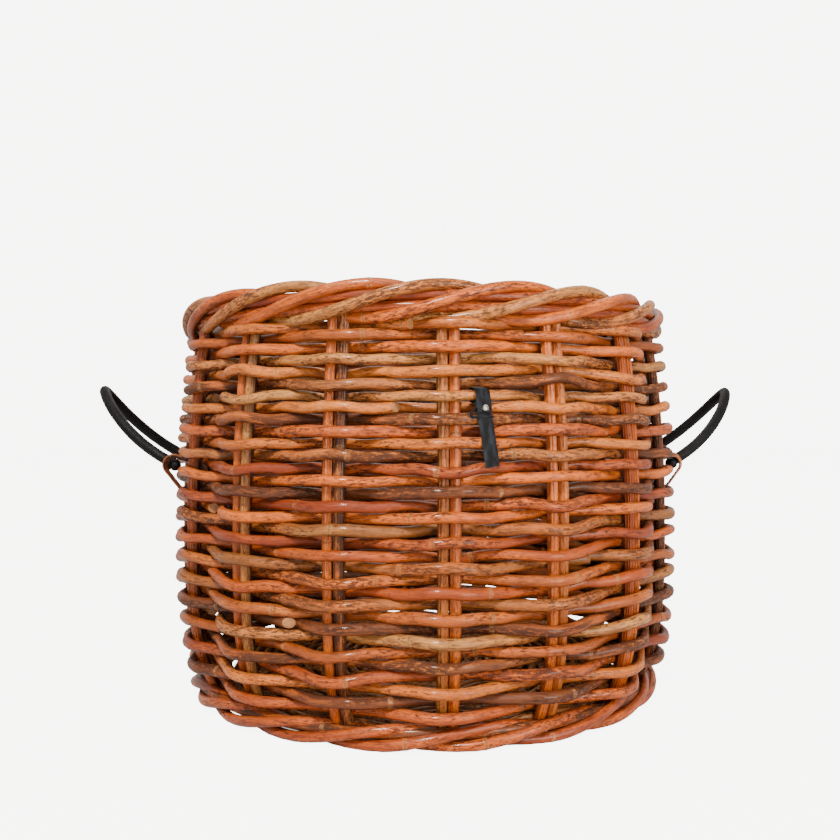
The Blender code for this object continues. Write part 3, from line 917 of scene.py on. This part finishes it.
def bail_line():
    """The bail's middle line, from its hinge line, with X out, Y along the hinge and Z up."""
    half = [(0.0, v) for v in np.linspace(FOOT_END_V - FOOT_SHOWN_SHORTER, FOOT_BEND_V, 8)]
    for turn in np.radians(np.arange(10, 81, 10)):
        along = FOOT_BEND_RADIUS * (1.0 - math.cos(turn))
        half.append((along, FOOT_BEND_V - FOOT_BEND_RADIUS * math.sin(turn)))
    leg_v = FOOT_BEND_V - FOOT_BEND_RADIUS
    power = 2.0 / BAIL_SQUARENESS
    for turn in np.linspace(0.0, 0.5 * math.pi, 60):
        along = FOOT_BEND_RADIUS + (BAIL_LENGTH - FOOT_BEND_RADIUS) * math.sin(turn) ** power
        half.append((along, leg_v * max(math.cos(turn), 0.0) ** power))
    half[-1] = (BAIL_LENGTH, 0.0)
    outline = np.array(half + [(along, -v) for along, v in reversed(half[:-1])])
    bend = BAIL_TURN / BAIL_LENGTH
    angle = BAIL_LOW_ANGLE + bend * outline[:, 0]
    out = (np.sin(angle) - math.sin(BAIL_LOW_ANGLE)) / bend
    up = (math.cos(BAIL_LOW_ANGLE) - np.cos(angle)) / bend
    points = np.stack([out, outline[:, 1], up], axis=-1)
    reach = length_along(points)
    even = np.append(np.arange(0.0, reach[-1], BAIL_STATION), reach[-1])
    return np.stack([np.interp(even, reach, points[:, axis]) for axis in range(3)], axis=-1)


def bail_section(count):
    """The bail's cross section: a stitched seam along its inside, with a ridge on each side of it."""
    turn = round_turn(BAIL_SIDES)
    section = np.ones((count, BAIL_SIDES))
    for seam in (math.pi - SEAM_ANGLE, math.pi + SEAM_ANGLE):
        section += SEAM_HEIGHT * np.exp(-(turned(turn - seam) / 0.10) ** 2)
    stitches = 0.5 + 0.5 * np.cos(2.0 * math.pi * np.arange(count) * BAIL_STATION / STITCH_PITCH)
    section += STITCH_HEIGHT * stitches[:, None] * np.exp(-(turned(turn - math.pi) / 0.35) ** 2)[None, :]
    return section


def bail_radii(count):
    """The bail's radius along its line: round ends, and a little play in the leather."""
    from_end = np.minimum(np.arange(count), count - 1 - np.arange(count)) * BAIL_STATION
    ball = np.clip(1.0 - from_end / BAIL_RADIUS, 0.0, 0.97)
    radii = (BAIL_RADIUS - GAP) * np.sqrt(1.0 - ball ** 2)
    return radii * (1.0 + 0.006 * np.sin(np.linspace(0.0, 1.0, count) * 37.0))


def make_handles():
    """Leather sewn round a stiff core."""
    line = bail_line()
    section = bail_section(len(line))
    radii = bail_radii(len(line))
    for side, angle in (("right", 0.0), ("left", math.pi)):
        hinge = np.array(joint_of(f"handle_{side}_hinge")["pos_m"])
        spin = np.array(Matrix.Rotation(angle, 3, "Z"))
        path = line @ spin.T + hinge
        middle = hinge + spin @ np.array([0.05, 0.0, 0.04])
        body = Body()
        body.tube(path, radii, path - middle, BAIL_SIDES, start=10.0 if side == "left" else 0.0,
                  section=section)
        node = f"handle_{side}"
        body.finish(f"bail_{side}", MATERIALS["handle_leather"], node, "handle_leather", node)


def strip_section(half_thickness, half_width, sides, count):
    """Radius of a flat strip's cross section, its thin way pointing out, for a tube of radius 1."""
    turn = round_turn(sides)
    radius = ((np.abs(np.cos(turn)) / half_thickness) ** 5 + (np.abs(np.sin(turn)) / half_width) ** 5) ** -0.2
    return np.repeat(radius[None, :], count, axis=0)


def belt_outline(circle_a, circle_b, steps=16):
    """Points of a belt round two circles of (x, y, radius)."""
    gap = np.array(circle_b[:2]) - np.array(circle_a[:2])
    towards_b = math.atan2(gap[1], gap[0])
    contact = math.acos((circle_a[2] - circle_b[2]) / np.hypot(*gap))
    outline = []
    for circle, start, end in ((circle_a, contact, 2.0 * math.pi - contact), (circle_b, -contact, contact)):
        for angle in towards_b + np.linspace(start, end, steps):
            outline.append((circle[0] + circle[2] * math.cos(angle), circle[1] + circle[2] * math.sin(angle)))
    return np.array(outline)


def eye_path(held, rng):
    """Turns round the bail's foot, at the origin, and round the course at held, with the directions
    that point outwards from them."""
    lap = GAP + 0.5 * EYE_STRIP_THICKNESS
    foot_circle = (0.0, 0.0, BAIL_RADIUS + lap)
    held_circle = (held[0] + EYE_HELD_SHIFT[0], held[2] + EYE_HELD_SHIFT[1], EYE_HELD_RADIUS + lap)
    outline = belt_outline(foot_circle, held_circle)
    path, hints = [], []
    for turn in range(EYE_TURNS):
        for index, (x, z) in enumerate(outline):
            share = turn + index / len(outline)
            away = np.array([x - 0.5 * held[0], z - 0.5 * held[2]])
            x, z = np.array([x, z]) + EYE_SPREAD * share * away / np.hypot(*away)
            lean = EYE_LEAN * math.sin(2.0 * math.pi * share) + rng.uniform(-0.00008, 0.00008)
            path.append((x, (share - 0.5 * EYE_TURNS) * (EYE_STRIP + EYE_STRIP_GAP) + lean, z))
            hints.append((x - 0.5 * held[0], 0.0, z - 0.5 * held[2]))
    return np.array(path), np.array(hints)


def make_eyes(course):
    """Turns of split cane that bind each bail foot to its course."""
    rng = np.random.default_rng(67)
    for side, angle in (("right", 0.0), ("left", math.pi)):
        hinge = np.array(joint_of(f"handle_{side}_hinge")["pos_m"])
        spin = np.array(Matrix.Rotation(angle, 3, "Z"))
        for end, v in (("a", -EYE_V), ("b", EYE_V)):
            foot = hinge + spin @ np.array([0.0, v, 0.0])
            local = (course.points - foot) @ spin
            nearest = (np.abs(local[:, 1]) + 10.0 * (local[:, 0] < -0.1)).argmin()
            path, hints = eye_path(local[nearest], rng)
            section = strip_section(0.5 * EYE_STRIP_THICKNESS, 0.5 * EYE_STRIP, ROW_SIDES, len(path))
            body = Body()
            body.tube(path @ spin.T + foot, np.ones(len(path)), hints @ spin.T, ROW_SIDES,
                      tone=rng.uniform(0.3, 0.7), start=rng.uniform(0.0, 50.0), section=section)
            node = f"cane_eye_{side}_{end}"
            body.finish(f"eye_binding_{side}_{end}", MATERIALS["split_cane"], "basket", "split_cane", node,
                        sharp=70.0)


def tag_frame():
    """Origin of the tag's loop, and its axes: out from the wall, along the course, and up."""
    joint = joint_of("tag_hinge")
    along = -np.array(joint["axis"])
    out = np.cross(along, (0.0, 0.0, 1.0))
    return np.array(joint["pos_m"]), np.stack([out, along, (0.0, 0.0, 1.0)])


def smooth_line(points, count):
    """count points along a Catmull-Rom curve through points."""
    points = np.array(points, float)
    padded = np.vstack([2 * points[0] - points[1], points, 2 * points[-1] - points[-2]])
    where = np.linspace(0.0, len(points) - 1.000001, count)
    index = where.astype(int)
    t = (where - index)[:, None]
    a, b, c, d = (padded[index + shift] for shift in range(4))
    curve = 2 * b + (c - a) * t + (2 * a - 5 * b + 4 * c - d) * t ** 2 + (3 * b - a - 3 * c + d) * t ** 3
    return 0.5 * curve


def make_strap(origin, axes):
    """The leather strap: a short flap in front, a loop round its course, and the tail that hangs down."""
    turn = np.radians(np.arange(0, 301, 30))
    loop = [(STRAP_LOOP_RADIUS * math.cos(angle), STRAP_LOOP_RADIUS * math.sin(angle)) for angle in turn]
    profile = smooth_line([*FLAP, *loop, *TAIL], STRAP_STATIONS)
    in_tail = np.arange(STRAP_STATIONS) > 0.4 * STRAP_STATIONS
    below = np.clip(RIVET_Z - profile[:, 1], 0.0, None) * in_tail
    path = np.stack([profile[:, 0], STRAP_LEAN * below, profile[:, 1]], axis=-1)
    normals = np.cross(np.array([0.0, 1.0, 0.0]), unit(np.gradient(path, axis=0)))
    sides = 28
    section = strip_section(0.5 * STRAP_THICKNESS, STRAP_SHOWN_HALF_WIDTH, sides, len(path))
    narrower = 1.0 - 0.03 * smoothstep((below - 0.01) / 0.03)
    body = Body()
    body.tube(path @ axes + origin, np.ones(len(path)), normals @ axes, sides,
              section=section * narrower[:, None])
    body.finish("tag_leather", MATERIALS["strap_leather"], "tag", "strap_leather", "tag_strap", sharp=60.0)


def make_rivet(origin, axes):
    radii, heights = np.array(RIVET_CAP).T
    centre = origin + (RIVET_FRONT - 0.0001) * axes[0] + RIVET_Z * axes[2]
    path = centre + heights[:, None] * axes[0]
    body = Body()
    body.tube(path, radii, np.repeat(axes[2][None, :], len(path), axis=0), 40)
    body.finish("tag_rivet_cap", MATERIALS["rivet_metal"], "tag", "rivet_metal", "tag_rivet", sharp=80.0)


def make_thread(origin, axes):
    """The end of the thread that ties the strap."""
    path = smooth_line(THREAD, 60) @ axes + origin
    body = Body()
    body.tube(path, np.full(len(path), THREAD_RADIUS), np.repeat(axes[0][None, :], len(path), axis=0), 8)
    body.finish("tag_thread", MATERIALS["strap_leather"], "tag", "strap_leather")


# ---- stage ---------------------------------------------------

def make_world():
    """Soft warm light on the basket, and a bright background behind it."""
    world = bpy.data.worlds.new("studio")
    bpy.context.scene.world = world
    graph = Graph(world, "Background")
    graph.shader.inputs["Color"].default_value = (*WARM_WHITE, 1.0)
    graph.shader.inputs["Strength"].default_value = SOFT_WORLD
    seen = graph.node("ShaderNodeBackground", Color=(*SEEN_WHITE, 1.0), Strength=SEEN_WORLD)
    surface = graph.for_camera(graph.shader.outputs[0], seen.outputs[0])
    graph.put(surface, graph.tree.nodes["World Output"].inputs["Surface"])


def floor_material():
    """A pale floor that glows to the camera like the background, but not under the basket, where leaving out
    the glow paints a shadow the size of the basket's foot.
    """
    graph = Graph(bpy.data.materials.new("floor"))
    graph.shader.inputs["Base Color"].default_value = (*PALE_FLOOR, 1.0)
    graph.shader.inputs["Roughness"].default_value = 0.9
    from_middle = graph.tree.nodes.new("ShaderNodeVectorMath")
    from_middle.operation = "LENGTH"
    graph.put(graph.node("ShaderNodeTexCoord").outputs["Object"], from_middle.inputs[0])
    # Painted shadow: no glow within the basket's foot, so only the floor's lit shading shows there.
    glow = graph.math("MULTIPLY", graph.band(from_middle.outputs["Value"], *FLOOR_PAINTED_SHADOW), FLOOR_GLOW)
    glow = graph.node("ShaderNodeEmission", Color=(*SEEN_WHITE, 1.0), Strength=glow)
    nothing = graph.node("ShaderNodeEmission", Strength=0.0)
    both = graph.tree.nodes.new("ShaderNodeAddShader")
    graph.put(graph.shader.outputs[0], both.inputs[0])
    graph.put(graph.for_camera(nothing.outputs[0], glow.outputs[0]), both.inputs[1])
    graph.put(both.outputs[0], graph.tree.nodes["Material Output"].inputs["Surface"])
    return graph.owner


def make_floor():
    mesh = bpy.data.meshes.new("floor")
    corners = [(x * FLOOR_HALF_SIZE, y * FLOOR_HALF_SIZE, FLOOR_Z)
               for x, y in ((-1, -1), (1, -1), (1, 1), (-1, 1))]
    mesh.from_pydata(corners, [], [(0, 1, 2, 3)])
    mesh.materials.append(floor_material())
    floor = bpy.data.objects.new("floor", mesh)
    bpy.context.scene.collection.objects.link(floor)


def make_lamps():
    for name, (location, power, size) in LAMPS.items():
        light = bpy.data.lights.new(name, "AREA")
        light.energy = power
        light.size = size
        light.color = WARM_WHITE
        lamp = bpy.data.objects.new(name, light)
        bpy.context.scene.collection.objects.link(lamp)
        lamp.location = location
        lamp.rotation_euler = (Vector(LAMP_TARGET) - Vector(location)).to_track_quat("-Z", "Y").to_euler()


def make_camera():
    """Level, a little above the middle of the basket, and turned a little to its left."""
    distance, height, azimuth = 1.2, 0.325, math.radians(-4.9)
    camera = bpy.data.cameras.new("camera")
    camera.sensor_width = 36.0
    camera.lens = 40.7
    camera.shift_x = -0.004
    camera.shift_y = -0.002
    holder = bpy.data.objects.new("camera", camera)
    bpy.context.scene.collection.objects.link(holder)
    holder.location = (distance * math.sin(azimuth), -distance * math.cos(azimuth), height)
    holder.rotation_euler = (0.5 * math.pi, 0.0, azimuth)
    bpy.context.scene.camera = holder


make_camera()
make_world()
make_floor()
make_lamps()
courses = make_rows()
make_stakes()
make_rim()
make_rim_filling()
make_foot()
make_base()
make_handles()
make_eyes(courses[EYE_ROW])
tag_origin, tag_axes = tag_frame()
make_strap(tag_origin, tag_axes)
make_rivet(tag_origin, tag_axes)
make_thread(tag_origin, tag_axes)
